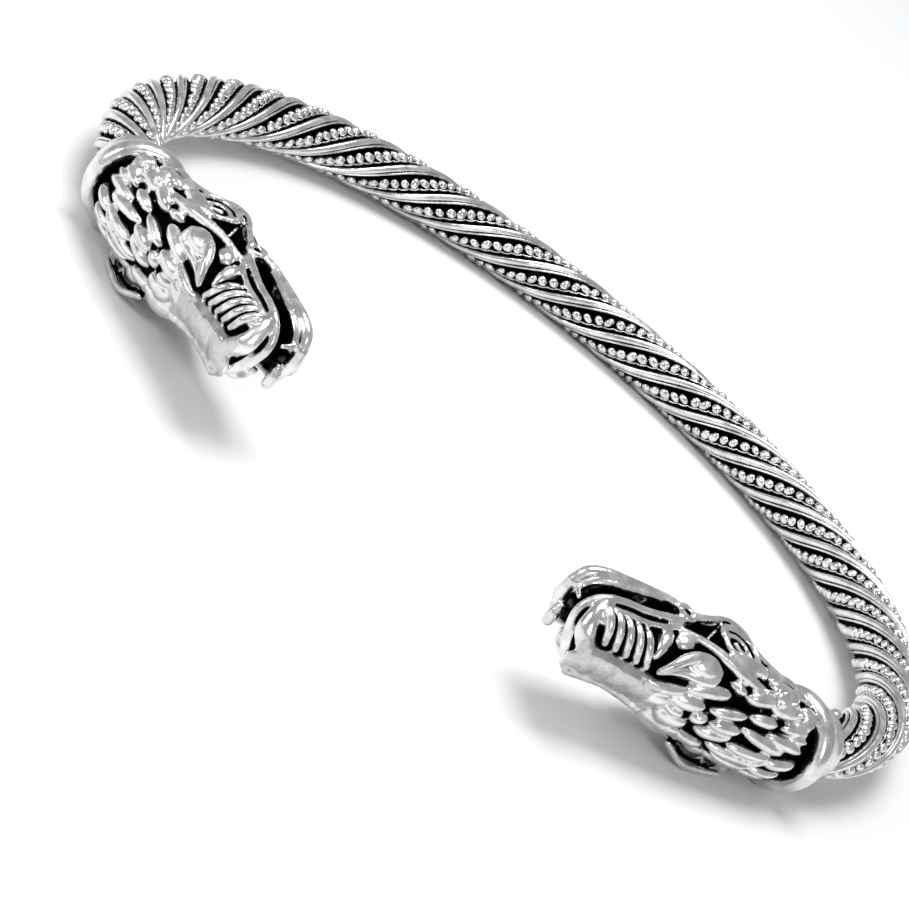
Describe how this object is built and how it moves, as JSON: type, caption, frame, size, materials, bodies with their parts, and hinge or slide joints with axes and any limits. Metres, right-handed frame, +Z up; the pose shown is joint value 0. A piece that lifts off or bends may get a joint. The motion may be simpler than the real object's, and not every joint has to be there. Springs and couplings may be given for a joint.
{
  "type": "arm ring",
  "caption": "Open twisted arm ring in antiqued silver-coloured metal, with plain and beaded strands and a dragon head at each end.",
  "frame": {"origin": "middle of the footprint, on the surface that the ring lies on", "axes": "+X across the ring to the right head, +Y to the back of the hoop, +Z up out of the surface; the opening between the heads faces -Y"},
  "size_m": [0.0786, 0.074, 0.0099],
  "materials": {
    "antique_silver": "antiqued silver: bright on the raised work, blackened in the grooves"
  },
  "bodies": {
    "root": {"twisted_hoop": "antique_silver", "right_collar": "antique_silver", "left_collar": "antique_silver", "right_dragon_head": "antique_silver", "left_dragon_head": "antique_silver"}
  },
  "joints": []
}
